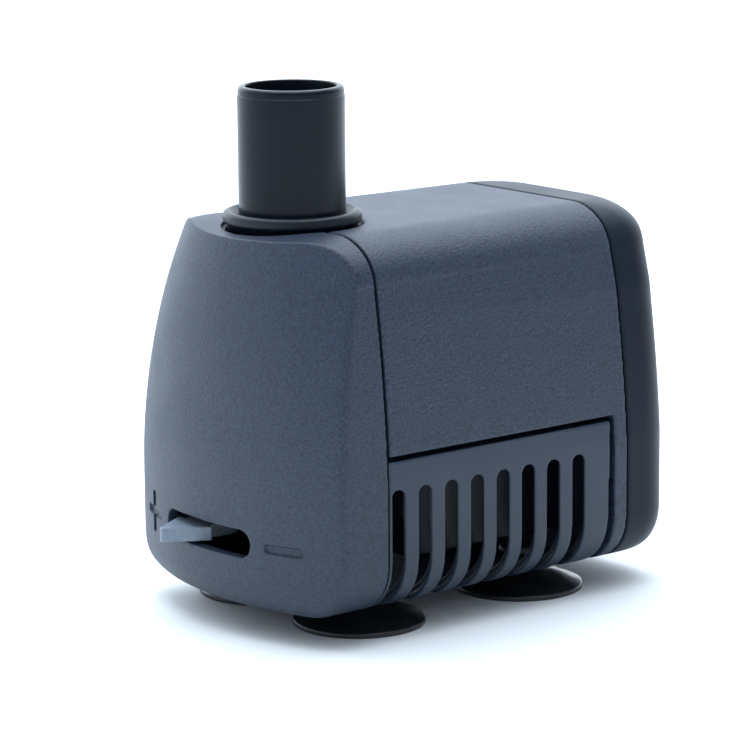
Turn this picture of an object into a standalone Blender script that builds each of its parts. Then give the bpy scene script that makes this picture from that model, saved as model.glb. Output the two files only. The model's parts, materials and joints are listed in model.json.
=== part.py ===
"""Small submersible pump on suction cups, in metres, +Z up.

The origin is on the floor, under the middle of the pump's box. The outlet tube stands up along +Z, the
flow regulator faces -Y and the rear cap faces +Y. The rotor turns about a line along Y. A synchronous
magnet rotor drives the impeller: water enters through the strainer's slots, passes forward under the motor
into the front cover, goes through the regulator's gate into the pump chamber, and leaves by the tube.
"""

import math

import bmesh
import bpy
from mathutils import Matrix

MM = 0.001  # every size below is in millimetres

# The body: one lofted form, cut into front cover, motor housing, strainer and rear cap
BODY_BOTTOM, BODY_TOP = 4.0, 59.5
BODY_HALF_WIDTH = 25.0
SIDE_LEAN_FROM = 24.0  # above this the side walls lean in
SIDE_LEAN, SIDE_BOW = 0.036, 0.0022
SHOULDER_Z, FLAT_TOP_HALF = 52.5, 13.5  # the rounded shoulder, and where the flat top starts
SIDE_FOOT_RADIUS, FRONT_FOOT_RADIUS, REAR_FOOT_RADIUS = 8.0, 4.5, 1.8
REAR_TOP_RADIUS = 5.0
FRONT_Y, REAR_Y = -34.75, 38.6
FRONT_CORNER_RADIUS, SHOULDER_CORNER_RADIUS, REAR_CORNER_RADIUS = 2.0, 0.9, 6.8
FRONT_LEAN_FROM, FRONT_LEAN, FRONT_LEAN_POWER = 18.0, 5.0, 2.2
FRONT_RADIUS, FRONT_TOP_RADIUS, FRONT_TURN_FROM, FRONT_TURN_POWER = 48.0, 28.0, 22.0, 1.6
CRISP_FROM, CRISP_AT = 43.0, 53.0  # between these the front corner turns from round to crisp
FRONT_DROP, DROP_START_Y, DROP_START_Z = 0.9, -21.0, 46.0  # the top slopes down to the front edge
FRONT_SEAM_Y, REAR_SEAM_Y = -19.35, 28.0
REAR_TAPER, SHOULDER_TAPER = 0.6, 0.9  # how much narrower the body is at the rear, and its shoulders
TAPER_SPAN, SHOULDER_TAPER_SPAN = (24.0, 44.0), (47.0, 55.0)  # the heights over which it does so
SIDE_STATIONS = (-22.6, -20.9)  # extra points along each side, where the top starts to slope
WALL, STRAINER_WALL = 1.8, 1.3
GAP, SEAM_GAP = 0.3, 0.6  # between neighbouring mouldings, and the wider one behind the front cover

# The outlet
OUTLET_Y = -17.15
TUBE_RADIUS, TUBE_BORE, TUBE_THROAT = 8.0, 6.8, 6.1
TUBE_TOP, TUBE_FOOT, THROAT_Z = 79.95, 55.6, 75.0
NECK_RADIUS, NECK_BORE = 9.7, 8.35
COLLAR_RADIUS, COLLAR_LOW, COLLAR_HIGH = 10.4, 59.65, 61.45
RECESS_RADIUS, RECESS_DEPTH = 10.6, 0.9

# The wet end, all about the rotor's axis
AXIS_Z = 30.0
CHAMBER_RADIUS, CHAMBER_BORE = 13.3, 11.8
CHAMBER_FRONT, CHAMBER_BACK = -23.4, -7.4
EYE_RADIUS, BUSH_HOLDER_RADIUS, BUSH_BORE = 6.2, 3.2, 2.5
BULKHEAD_Y, BULKHEAD_THICK = -7.1, 2.0
SPIGOT_Y, SPIGOT_RADIUS = -10.6, 11.0
WELL_RADIUS, WELL_BORE, WELL_END = 8.5, 7.3, 21.0
SHAFT_RADIUS, ROTOR_BORE = 1.15, 1.35
MAGNET_RADIUS, MAGNET_BORE, MAGNET_START, MAGNET_END = 6.7, 3.4, 0.0, 16.0
IMPELLER_RADIUS, IMPELLER_FRONT, IMPELLER_BACK, VANES = 9.4, -19.4, -11.2, 6

# The regulator
SLOT_Z, SLOT_HEIGHT, SLOT_HALF = 14.45, 4.25, 10.3
TAB_X, TAB_TIP_Y, TAB_BASE_Y, TAB_HALF = -5.2, -38.6, -32.2, 4.3
TAB_Z, TAB_THICK = 13.9, 2.2
GATE_LOW, GATE_HIGH, GATE_BACK, GATE_THICK = 22.2, 37.8, -23.7, 1.3
MARK_X, MARK_LENGTH, MARK_WIDTH, MARK_DEPTH = 16.1, 6.4, 1.35, 0.35

# The strainer and the motor's keel above it
STRAINER_TOP, HOUSING_LOW = 27.2, 28.0
STRAINER_REAR, STRAINER_REAR_LOW, FRAME_Y = 24.45, 23.8, 25.35
SLOTS, SLOT_PITCH, FIRST_SLOT_Y, SLOT_WIDTH, SLOT_TOP = 8, 5.03, -17.35, 2.5, 23.0
SLOT_INNER_X = 15.5
KEEL_HALF, KEEL_LOW = 15.0, 8.9
RAIL_INNER, RAIL_OUTER, RAIL_LOW, RAIL_START, RAIL_END = 18.6, 20.6, 22.7, -16.0, 21.0

# The stator
STACK_START, STACK_END = 0.2, 16.2
LEG_INNER, LEG_OUTER, POLE_RADIUS = 5.9, 12.6, 8.9
YOKE_LOW, YOKE_HIGH = 50.4, 56.2
COIL_LOW, COIL_HIGH, BOBBIN_WALL, WINDING = 39.6, 50.0, 0.8, 3.6

# Feet and gland
CUP_X, CUP_FRONT_Y, CUP_REAR_Y, CUP_RADIUS = 11.9, -14.55, 17.1, 10.0
GLAND_Z, GLAND_RADIUS = 44.0, 4.6

COLOURS = {  # base colour, roughness, metallic
    "shell_grain": ((0.046, 0.056, 0.075), 0.62, 0.0),
    "shell_smooth": ((0.046, 0.056, 0.075), 0.50, 0.0),
    "cap_smooth": ((0.034, 0.042, 0.058), 0.50, 0.0),
    "outlet_black": ((0.022, 0.027, 0.038), 0.42, 0.0),
    "regulator_grey": ((0.16, 0.19, 0.22), 0.45, 0.0),
    "cup_rubber": ((0.010, 0.011, 0.013), 0.30, 0.0),
    "inner_black": ((0.02, 0.02, 0.022), 0.45, 0.0),
    "seal_rubber": ((0.015, 0.015, 0.015), 0.6, 0.0),
    "impeller_white": ((0.75, 0.76, 0.74), 0.4, 0.0),
    "ferrite": ((0.06, 0.06, 0.065), 0.5, 0.0),
    "ceramic_white": ((0.85, 0.84, 0.80), 0.2, 0.0),
    "core_steel": ((0.32, 0.33, 0.35), 0.4, 1.0),
    "bobbin_white": ((0.78, 0.76, 0.70), 0.5, 0.0),
    "copper_wire": ((0.55, 0.20, 0.07), 0.3, 1.0),
    "resin_black": ((0.018, 0.017, 0.016), 0.35, 0.0),
}


def clear_scene():
    for obj in list(bpy.data.objects):
        bpy.data.objects.remove(obj)
    for collection in list(bpy.data.collections):
        bpy.data.collections.remove(collection)


def new_collection(name, hidden=False):
    collection = bpy.data.collections.new(name)
    collection.hide_render = hidden
    bpy.context.scene.collection.children.link(collection)
    return collection


def new_material(name):
    colour, roughness, metallic = COLOURS[name]
    material = bpy.data.materials.new(name)
    material.use_nodes = True
    shader = material.node_tree.nodes["Principled BSDF"]
    shader.inputs["Base Color"].default_value = (*colour, 1)
    shader.inputs["Roughness"].default_value = roughness
    shader.inputs["Metallic"].default_value = metallic
    return material


clear_scene()
PARTS = new_collection("submersible_pump")
CUTTERS = new_collection("cutters", hidden=True)
MATERIALS = {name: new_material(name) for name in COLOURS}


# ---------------------------------------------------------------- making meshes


def keep(obj, material=None):
    """Puts an object with the pump's parts, or with the cutters when it has no material."""
    (PARTS if material else CUTTERS).objects.link(obj)
    if material:
        obj.data.materials.append(MATERIALS[material])
        obj.data.shade_smooth()
        obj.data.set_sharp_from_angle(angle=math.radians(35))
    else:
        obj.hide_render = True
        obj.display_type = "WIRE"
    return obj


def from_bmesh(name, bm, material=None):
    mesh = bpy.data.meshes.new(name)
    bm.to_mesh(mesh)
    bm.free()
    return keep(bpy.data.objects.new(name, mesh), material)


def box(name, low, high, material=None):
    """A box between two corners."""
    bm = bmesh.new()
    size = [(h - l) * MM for l, h in zip(low, high)]
    middle = [(h + l) * MM / 2 for l, h in zip(low, high)]
    bmesh.ops.create_cube(bm, size=1, matrix=Matrix.Translation(middle) @ Matrix.Diagonal((*size, 1)))
    return from_bmesh(name, bm, material)


def along_y(start, end, x=0.0, z=AXIS_Z):
    """Places a shape made along local Z so that it runs from start to end along Y."""
    return Matrix.Translation((x * MM, (start + end) * MM / 2, z * MM)) @ Matrix.Rotation(-math.pi / 2, 4, "X")


def rod(name, radius, start, end, material=None, x=0.0, z=AXIS_Z, segments=40):
    """A cylinder along Y, on the rotor's axis unless x and z say otherwise."""
    bm = bmesh.new()
    bmesh.ops.create_cone(bm, cap_ends=True, segments=segments, radius1=radius * MM, radius2=radius * MM,
                          depth=(end - start) * MM, matrix=along_y(start, end, x, z))
    return from_bmesh(name, bm, material)


def post(name, radius, low, high, material=None, x=0.0, y=OUTLET_Y, segments=48):
    """A cylinder along Z, on the outlet's axis unless x and y say otherwise."""
    bm = bmesh.new()
    place = Matrix.Translation((x * MM, y * MM, (low + high) * MM / 2))
    bmesh.ops.create_cone(bm, cap_ends=True, segments=segments, radius1=radius * MM, radius2=radius * MM,
                          depth=(high - low) * MM, matrix=place)
    return from_bmesh(name, bm, material)


def turned(name, profile, material=None, ring=False, place=(0, OUTLET_Y, 0), axis="Z", steps=48):
    """A profile of (radius, height) pairs turned about an axis, from the top down its outer side."""
    mesh = bpy.data.meshes.new(name)
    points = [(radius * MM, 0, height * MM) for radius, height in profile]
    edges = [(i, i + 1) for i in range(len(points) - 1)]
    if ring:
        edges.append((len(points) - 1, 0))
    mesh.from_pydata(points, edges, [])
    obj = bpy.data.objects.new(name, mesh)
    obj.location = [value * MM for value in place]
    if axis == "Y":
        obj.rotation_euler = (-math.pi / 2, 0, 0)
    screw = obj.modifiers.new("turn", "SCREW")
    screw.axis = "Z"
    screw.steps = screw.render_steps = steps
    screw.use_merge_vertices = True
    screw.merge_threshold = 0.00001
    return keep(obj, material)


def torus_profile(radius, thickness, height, points=6):
    """A ring's round section, clockwise from its top."""
    turns = [2 * math.pi * i / points for i in range(points)]
    return [(radius + thickness * math.sin(t), height + thickness * math.cos(t)) for t in turns]


def plate(name, loops, low, high, axis="Y", material=None):
    """A flat outline with holes, as a filled 2D curve extruded from low to high along an axis."""
    curve = bpy.data.curves.new(name, "CURVE")
    curve.dimensions, curve.fill_mode = "2D", "BOTH"
    curve.extrude = (high - low) / 2 * MM
    for loop in loops:
        spline = curve.splines.new("POLY")
        spline.points.add(len(loop) - 1)
        for point, (u, v) in zip(spline.points, loop):
            point.co = (u * MM, v * MM, 0, 1)
        spline.use_cyclic_u = True
    drawn = bpy.data.objects.new(name + "_curve", curve)
    CUTTERS.objects.link(drawn)
    middle = (low + high) / 2 * MM
    if axis == "Y":
        drawn.matrix_world = Matrix.Translation((0, middle, 0)) @ Matrix.Rotation(math.pi / 2, 4, "X")
    else:
        drawn.matrix_world = Matrix.Translation((0, 0, middle))
    bpy.context.view_layer.update()
    mesh = bpy.data.meshes.new_from_object(drawn.evaluated_get(bpy.context.evaluated_depsgraph_get()))
    bm = bmesh.new()
    bm.from_mesh(mesh)
    bmesh.ops.remove_doubles(bm, verts=bm.verts, dist=0.000001)
    bmesh.ops.recalc_face_normals(bm, faces=bm.faces)
    bm.transform(drawn.matrix_world)
    bpy.data.objects.remove(drawn)
    bpy.data.curves.remove(curve)
    bpy.data.meshes.remove(mesh)
    return from_bmesh(name, bm, material)


def circle(radius, u=0.0, v=0.0, points=40):
    turns = [2 * math.pi * i / points for i in range(points)]
    return [(u + radius * math.cos(t), v + radius * math.sin(t)) for t in turns]


def rounded(u_low, v_low, u_high, v_high, radius, points=4):
    """A rectangle with rounded corners."""
    loop = []
    for quarter, (u, v) in enumerate(((u_high, v_low), (u_high, v_high), (u_low, v_high), (u_low, v_low))):
        middle_u = u - radius if u == u_high else u + radius
        middle_v = v - radius if v == v_high else v + radius
        for i in range(points + 1):
            turn = math.pi / 2 * (quarter - 1 + i / points)
            loop.append((middle_u + radius * math.cos(turn), middle_v + radius * math.sin(turn)))
    return loop


def boolean(obj, other, operation):
    modifier = obj.modifiers.new(f"{operation.lower()} {other.name}", "BOOLEAN")
    modifier.operation = operation
    modifier.object = other
    modifier.solver = "EXACT"
    return obj


def cut(obj, *cutters):
    for cutter in cutters:
        boolean(obj, cutter, "DIFFERENCE")
    return obj


def join(obj, *others):
    for other in others:
        boolean(obj, other, "UNION")
    return obj


def pivot(name, place, *children):
    """An empty on a joint's axis, with the pieces that it moves."""
    empty = bpy.data.objects.new(name, None)
    empty.location = [value * MM for value in place]
    empty.empty_display_size = 5 * MM
    PARTS.objects.link(empty)
    for child in children:
        child.parent = empty
        child.location -= empty.location


# ---------------------------------------------------------------- the body's form


def rounding(distance, radius):
    """How far an edge of this radius has drawn in, at a distance from where it ends."""
    inside = max(0.0, radius - distance)
    return radius - math.sqrt(max(0.0, radius * radius - inside * inside))


def ramp(value, start, end):
    """Nought up to the start, one from the end, and even between them."""
    return max(0.0, min(1.0, (value - start) / (end - start)))


def half_width(z):
    if z > SHOULDER_Z:
        up = (z - SHOULDER_Z) / (BODY_TOP - SHOULDER_Z)
        return FLAT_TOP_HALF + (half_width(SHOULDER_Z) - FLAT_TOP_HALF) * math.sqrt(max(0.0, 1 - up * up))
    lean = max(0.0, z - SIDE_LEAN_FROM)
    drawn_in = rounding(z - BODY_BOTTOM, SIDE_FOOT_RADIUS)
    return BODY_HALF_WIDTH - drawn_in - SIDE_LEAN * lean - SIDE_BOW * lean * lean


def front_apex(z):
    """The middle of the front face, which leans back towards the top."""
    up = ramp(z, FRONT_LEAN_FROM, BODY_TOP)
    return FRONT_Y + rounding(z - BODY_BOTTOM, FRONT_FOOT_RADIUS) + FRONT_LEAN * up**FRONT_LEAN_POWER


def front_radius(z):
    """The front face is an arc in plan, tighter towards the top."""
    up = ramp(z, FRONT_TURN_FROM, BODY_TOP)
    return FRONT_RADIUS - (FRONT_RADIUS - FRONT_TOP_RADIUS) * up**FRONT_TURN_POWER


def rear_end(z):
    return REAR_Y - rounding(z - BODY_BOTTOM, REAR_FOOT_RADIUS) - rounding(BODY_TOP - z, REAR_TOP_RADIUS)


def front_corner(z):
    """The edge between front and side is round low down and crisp over the shoulder."""
    return FRONT_CORNER_RADIUS + (SHOULDER_CORNER_RADIUS - FRONT_CORNER_RADIUS) * ramp(z, CRISP_FROM, CRISP_AT)


def top_drop(y, z):
    """How far the top has sloped down at a place in front of the outlet."""
    forward = max(0.0, (DROP_START_Y - y) / (DROP_START_Y - FRONT_Y - FRONT_LEAN))
    return FRONT_DROP * forward**1.5 * ramp(z, DROP_START_Z, BODY_TOP) ** 2


def plan_outline(z, inset):
    """The body's outline in plan at a height, drawn in by the inset all round."""
    share = (z - BODY_BOTTOM - inset) / (BODY_TOP - BODY_BOTTOM - 2 * inset)
    height = BODY_BOTTOM + share * (BODY_TOP - BODY_BOTTOM)
    side = half_width(height) - inset
    taper = REAR_TAPER * ramp(height, *TAPER_SPAN) + SHOULDER_TAPER * ramp(height, *SHOULDER_TAPER_SPAN)
    rear_side = side - taper
    arc = front_radius(height) - inset
    middle = front_apex(height) + inset + arc
    corner = max(0.4, front_corner(height) - inset)
    corner_y = middle - math.sqrt((arc - corner) ** 2 - (side - corner) ** 2)
    sweep = math.atan2(side - corner, middle - corner_y)
    back = REAR_CORNER_RADIUS - inset
    rear_start = rear_end(height) - inset - back
    right = []
    for i in range(1, 7):
        turn = sweep * i / 6
        right.append((arc * math.sin(turn), middle - arc * math.cos(turn)))
    for i in range(1, 4):
        turn = sweep + (math.pi / 2 - sweep) * i / 3
        right.append((side - corner + corner * math.sin(turn), corner_y - corner * math.cos(turn)))
    for y in SIDE_STATIONS:
        right.append((side + (rear_side - side) * ramp(y, corner_y, rear_start), y))
    for i in range(5):
        turn = math.pi / 2 * (1 + i / 4)
        right.append((rear_side - back + back * math.sin(turn), rear_start - back * math.cos(turn)))
    left = [(-x, y) for x, y in reversed(right)]
    return [(0.0, middle - arc), *right, *left]


def body_form(name, inset=0.0, material=None):
    """The body's whole form as a loft of plan outlines."""
    shoulder = [SHOULDER_Z + (BODY_TOP - SHOULDER_Z) * math.sin(math.pi / 2 * i / 6) for i in range(7)]
    foot = [BODY_BOTTOM + SIDE_FOOT_RADIUS * (1 - math.cos(math.pi / 2 * i / 4)) for i in range(5)]
    heights = [*foot, 17.5, SIDE_LEAN_FROM, 31.5, 37.0, 42.0, 47.3, *shoulder]
    shrink = (BODY_TOP - BODY_BOTTOM - 2 * inset) / (BODY_TOP - BODY_BOTTOM)
    bm = bmesh.new()
    rings = []
    for height in heights:
        z = BODY_BOTTOM + inset + (height - BODY_BOTTOM) * shrink
        outline = plan_outline(z, inset)
        rings.append([bm.verts.new((x * MM, y * MM, (z - top_drop(y, height)) * MM)) for x, y in outline])
    for lower, upper in zip(rings, rings[1:]):
        for i in range(len(lower)):
            j = (i + 1) % len(lower)
            bm.faces.new((lower[i], lower[j], upper[j], upper[i]))
    bm.faces.new(list(reversed(rings[0])))
    top = rings[-1]
    bm.faces.new((top[0], top[1], top[-1]))
    for i in range(1, len(top) // 2):
        bm.faces.new((top[i], top[i + 1], top[-i - 1], top[-i]))
    bmesh.ops.triangulate(bm, faces=bm.faces)
    return from_bmesh(name, bm, material)


def slab(name, y_low, y_high, z_low=0.0, z_high=70.0, half=40.0):
    return box(name, (-half, y_low, z_low), (half, y_high, z_high))


def keep_only(obj, region):
    return boolean(obj, region, "INTERSECT")


# ---------------------------------------------------------------- shells


def regulator_slot():
    low, high = SLOT_Z - SLOT_HEIGHT / 2, SLOT_Z + SLOT_HEIGHT / 2
    loop = rounded(-SLOT_HALF, low, SLOT_HALF, high, SLOT_HEIGHT / 2 - 0.01, points=6)
    return plate("regulator_slot", [loop], -45, -29)


def sunk_sign(name, loop):
    """A plus or minus sign, cut a little way into the curved front face."""
    return cut(plate(name, [loop], -45, -20), body_form(name + "_depth", inset=MARK_DEPTH))


def minus_outline():
    reach, half = MARK_LENGTH / 2, MARK_WIDTH / 2
    return rounded(MARK_X - reach, SLOT_Z - half, MARK_X + reach, SLOT_Z + half, 0.6, points=3)


def plus_outline():
    reach, half = MARK_LENGTH / 2, MARK_WIDTH / 2
    quarter = [(reach, -half), (reach, half), (half, half)]
    turned_quarters = [[(u, v), (-v, u), (-u, -v), (v, -u)] for u, v in quarter]
    return [(corner[i][0] - MARK_X, corner[i][1] + SLOT_Z) for i in range(4) for corner in turned_quarters]


def outlet_opening(name):
    return (post(name + "_neck", NECK_RADIUS + GAP, 45, 70),
            post(name + "_recess", RECESS_RADIUS, BODY_TOP - RECESS_DEPTH, 70))


def front_cover():
    cover = keep_only(body_form("front_cover", material="shell_grain"), slab("cover_span", -50, FRONT_SEAM_Y))
    cut(cover, body_form("cover_hollow", inset=WALL), regulator_slot())
    cut(cover, *outlet_opening("cover"))
    return cut(cover, sunk_sign("minus_sign", minus_outline()), sunk_sign("plus_sign", plus_outline()))


def rotor_well():
    """The dry motor's wall round the wet rotor: a spigot for the chamber, with a groove for its seal, then a
    blind tube with a seat for the rear bush."""
    root = BULKHEAD_Y + 0.6
    floor = WELL_END - 1.4
    tube = [(0, WELL_END), (WELL_RADIUS, WELL_END), (WELL_RADIUS, root)]
    spigot = [(SPIGOT_RADIUS, root), (SPIGOT_RADIUS, -7.8), (9.9, -7.8), (9.9, -9.6), (SPIGOT_RADIUS, -9.6),
              (SPIGOT_RADIUS, SPIGOT_Y)]
    inside = [(WELL_BORE, SPIGOT_Y), (WELL_BORE, floor), (4.0, floor), (4.0, 16.8), (BUSH_BORE, 16.8),
              (BUSH_BORE, floor), (0, floor)]
    return turned("rotor_well", tube + spigot + inside, place=(0, 0, AXIS_Z), axis="Y")


def motor_housing():
    start = FRONT_SEAM_Y + SEAM_GAP
    end = REAR_SEAM_Y - GAP / 2
    housing = keep_only(body_form("motor_housing", material="shell_grain"), slab("housing_span", start, end))
    cut(housing, slab("strainer_room", -50, FRAME_Y, -5, HOUSING_LOW))
    cut(housing, keep_only(body_form("skirt_hollow", inset=2.0), slab("skirt_span", -60, BULKHEAD_Y)))
    bay = keep_only(body_form("motor_bay", inset=2.0),
                    slab("bay_span", BULKHEAD_Y + BULKHEAD_THICK, 60, HOUSING_LOW + 2, 70))
    cut(housing, bay)
    keel = box("keel", (-KEEL_HALF, BULKHEAD_Y, KEEL_LOW), (KEEL_HALF, FRAME_Y + 1, HOUSING_LOW + 1))
    join(housing, keel)
    cut(housing, box("keel_bay", (-KEEL_HALF + 1.8, BULKHEAD_Y + BULKHEAD_THICK, KEEL_LOW + 1.8),
                     (KEEL_HALF - 1.8, 40, HOUSING_LOW + 3)))
    for side in (-1, 1):
        inner, outer = sorted((side * RAIL_INNER, side * RAIL_OUTER))
        web = box(f"rail_{side}", (inner, RAIL_START, RAIL_LOW), (outer, RAIL_END, HOUSING_LOW + 0.9))
        toe_low, toe_high = sorted((side * (RAIL_OUTER - 0.6), side * (RAIL_OUTER + 1.6)))
        toe = box(f"toe_{side}", (toe_low, RAIL_START + 1, RAIL_LOW + 0.1),
                  (toe_high, RAIL_END - 1, RAIL_LOW + 1.2))
        join(housing, join(web, toe))
    cut(housing, rod("well_opening", (WELL_RADIUS + WELL_BORE) / 2, SPIGOT_Y, BULKHEAD_Y + 5, segments=48))
    join(housing, rotor_well())
    return cut(housing, *outlet_opening("housing"))


def rear_cap():
    cap = keep_only(body_form("rear_cap", material="cap_smooth"), slab("cap_span", REAR_SEAM_Y + GAP / 2, 60))
    cut(cap, keep_only(body_form("cap_hollow", inset=2.2), slab("cap_hollow_span", 0, 60)))
    join(cap, rod("gland_boss", GLAND_RADIUS + 1.8, REAR_Y - 5.0, REAR_Y - 1.0, z=GLAND_Z))
    tip, root = REAR_SEAM_Y - 1.7, REAR_SEAM_Y + 2.5
    for side in (-1, 1):
        tab_in, tab_out = sorted((side * 18.2, side * 19.6))
        root_in, root_out = sorted((side * 18.1, side * 21.6))
        tab = box(f"tab_{side}", (tab_in, tip, 39.0), (tab_out, root - 0.1, 47.0))
        join(tab, box(f"tab_root_{side}", (root_in, REAR_SEAM_Y + 0.7, 38.9), (root_out, root, 47.1)))
        join(cap, tab)
    top_tab = box("tab_top", (-9.0, tip, 55.0), (9.0, root - 0.1, 57.1))
    join(cap, join(top_tab, box("tab_root_top", (-9.1, REAR_SEAM_Y + 0.7, 54.9), (9.1, root, 58.2))))
    cut(cap, rod("gland_hole", 3.5, REAR_Y - 8, REAR_Y + 2, z=GLAND_Z, segments=32))
    return cut(cap, rod("gland_recess", GLAND_RADIUS + 0.4, REAR_Y - 1.5, REAR_Y + 2, z=GLAND_Z, segments=32))


def intake_grille():
    front = FRONT_SEAM_Y + GAP
    span = slab("strainer_span", front, STRAINER_REAR, 0, STRAINER_TOP)
    grille = keep_only(body_form("intake_grille", material="shell_smooth"), span)
    cut(grille, keep_only(body_form("strainer_hollow", inset=STRAINER_WALL),
                          slab("strainer_hollow_span", -60, STRAINER_REAR - WALL, 0, 40)))
    for i in range(SLOTS):
        y = FIRST_SLOT_Y + i * SLOT_PITCH
        for side, name in ((-1, "left"), (1, "right")):
            inner, outer = sorted((side * SLOT_INNER_X, side * 30.0))
            slot = box(f"slot_{name}_{i}", (inner, y - SLOT_WIDTH / 2, 0),
                       (outer, y + SLOT_WIDTH / 2, SLOT_TOP - SLOT_WIDTH / 2))
            arch = bmesh.new()
            place = Matrix.Translation(((inner + outer) / 2 * MM, y * MM, (SLOT_TOP - SLOT_WIDTH / 2) * MM))
            bmesh.ops.create_cone(arch, cap_ends=True, segments=8, radius1=SLOT_WIDTH / 2 * MM,
                                  radius2=SLOT_WIDTH / 2 * MM, depth=(outer - inner) * MM,
                                  matrix=place @ Matrix.Rotation(math.pi / 2, 4, "Y"))
            cut(grille, join(slot, from_bmesh(f"arch_{name}_{i}", arch)))
    for side in (-1, 1):
        low, high = sorted((side * (RAIL_OUTER + 0.3), side * 24.2))
        hook_low = RAIL_LOW + 1.5
        join(grille, box(f"hook_{side}", (low, RAIL_START + 2, hook_low), (high, RAIL_END - 2, hook_low + 1.3)))
    margin = 0.4
    cut(grille, box("keel_notch", (-KEEL_HALF - margin, STRAINER_REAR - 5, KEEL_LOW - margin),
                    (KEEL_HALF + margin, STRAINER_REAR + 5, 40)))
    for cup_x in (-CUP_X, CUP_X):
        for cup_y in (CUP_FRONT_Y, CUP_REAR_Y):
            cut(grille, post(f"cup_hole_{cup_x}_{cup_y}", 2.6, 0, 12, x=cup_x, y=cup_y, segments=24))
    lean = box("strainer_lean", (-40, STRAINER_REAR, -10), (40, 60, 40))
    slope = math.atan2(STRAINER_REAR - STRAINER_REAR_LOW, STRAINER_TOP - BODY_BOTTOM)
    pin = Matrix.Translation((0, STRAINER_REAR * MM, STRAINER_TOP * MM))
    lean.data.transform(pin @ Matrix.Rotation(-slope, 4, "X") @ pin.inverted())
    return cut(grille, lean)


# ---------------------------------------------------------------- wet end


def rail(name, web_low, web_high, lip_low, lip_high):
    """A channel across the chamber's front that holds an edge of the regulator's gate."""
    front = CHAMBER_FRONT - 2.6
    web = box(name, (-12.5, front, web_low), (12.5, CHAMBER_FRONT + 0.8, web_high))
    return join(web, box(name + "_lip", (-12.4, front, lip_low), (12.4, front + 0.7, lip_high)))


def outlet_neck():
    """The socket for the tube, with the rounded collar round its mouth."""
    edge = 0.75
    collar = [(COLLAR_RADIUS - edge, COLLAR_HIGH), (COLLAR_RADIUS - edge * 0.3, COLLAR_HIGH - edge * 0.3),
              (COLLAR_RADIUS, COLLAR_HIGH - edge), (COLLAR_RADIUS, COLLAR_LOW + edge * 0.6),
              (COLLAR_RADIUS - edge * 0.3, COLLAR_LOW + edge * 0.15), (COLLAR_RADIUS - edge * 0.8, COLLAR_LOW)]
    neck = [(NECK_RADIUS, COLLAR_LOW - 0.1), (NECK_RADIUS, AXIS_Z + 8), (0, AXIS_Z + 8)]
    return turned("neck", [(0, COLLAR_HIGH), *collar, *neck], steps=44)


def outlet_bore():
    """The dished mouth, the socket that the tube sits in, and the riser from the chamber."""
    profile = [(0, COLLAR_HIGH + 1), (10.4, COLLAR_HIGH + 1), (NECK_BORE, COLLAR_HIGH - 1.05),
               (NECK_BORE, TUBE_FOOT - GAP), (TUBE_THROAT, TUBE_FOOT - GAP), (TUBE_THROAT, AXIS_Z + 5),
               (0, AXIS_Z + 5)]
    return turned("outlet_bore", profile, steps=44)


def pump_chamber():
    chamber = rod("pump_chamber", CHAMBER_RADIUS, CHAMBER_FRONT, CHAMBER_BACK, "inner_black", segments=44)
    join(chamber, outlet_neck())
    cut(chamber, rod("chamber_bore", CHAMBER_BORE, CHAMBER_FRONT + 1.6, 0, segments=44), outlet_bore())
    rings = [circle(EYE_RADIUS, 0, AXIS_Z), circle(BUSH_HOLDER_RADIUS, 0, AXIS_Z, points=24)]
    eye = plate("eye", rings, -30, -15)
    for i in range(3):
        spoke = box(f"spoke_{i}", (-0.9, -31, 1), (0.9, -14, 8))
        turn = Matrix.Rotation(2 * math.pi / 3 * i + math.pi, 4, "Y")
        spoke.data.transform(Matrix.Translation((0, 0, AXIS_Z * MM)) @ turn)
        cut(eye, spoke)
    cut(chamber, eye)
    reach = BUSH_HOLDER_RADIUS - 0.1
    join(chamber, rod("bush_holder", reach, CHAMBER_FRONT + 0.4, -19.9, segments=24))
    cut(chamber, rod("front_bush_bore", BUSH_BORE, CHAMBER_FRONT + 0.7, -10, segments=32))
    join(chamber, box("inlet_baffle", (-18.0, CHAMBER_FRONT + 0.05, 6.8), (7.0, CHAMBER_FRONT + 1.45, 20.0)))
    join(chamber, rail("rail_low", GATE_LOW - 1.5, GATE_LOW - GAP, GATE_LOW - 1.49, GATE_LOW + 0.9))
    return join(chamber, rail("rail_high", GATE_HIGH + GAP, GATE_HIGH + 1.5, GATE_HIGH - 0.9, GATE_HIGH + 1.49))


def chamber_seal():
    return turned("chamber_seal", torus_profile(10.75, 0.6, -8.7), "seal_rubber", ring=True,
                  place=(0, 0, AXIS_Z), axis="Y", steps=32)


def outlet_nozzle():
    step = 0.08
    outer = [(TUBE_RADIUS - 0.6, TUBE_TOP), (TUBE_RADIUS - 0.34, TUBE_TOP - 0.2),
             (TUBE_RADIUS - step, TUBE_TOP - 0.75), (TUBE_RADIUS - step, 78.7), (TUBE_RADIUS, 78.55)]
    spigot = [(TUBE_RADIUS, 59.2), (7.0, 59.2), (7.0, 57.3), (TUBE_RADIUS, 57.3), (TUBE_RADIUS, TUBE_FOOT + 0.4),
              (TUBE_RADIUS - 0.4, TUBE_FOOT)]
    bore = [(TUBE_THROAT, TUBE_FOOT), (TUBE_THROAT, THROAT_Z), (TUBE_BORE, THROAT_Z + 0.3),
            (TUBE_BORE, TUBE_TOP - 0.35), (TUBE_BORE + 0.2, TUBE_TOP)]
    return turned("outlet_nozzle", outer + spigot + bore, "outlet_black", ring=True, steps=40)


def nozzle_o_ring():
    return turned("nozzle_o_ring", torus_profile(7.65, 0.5, 58.25), "seal_rubber", ring=True, steps=32)


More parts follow.
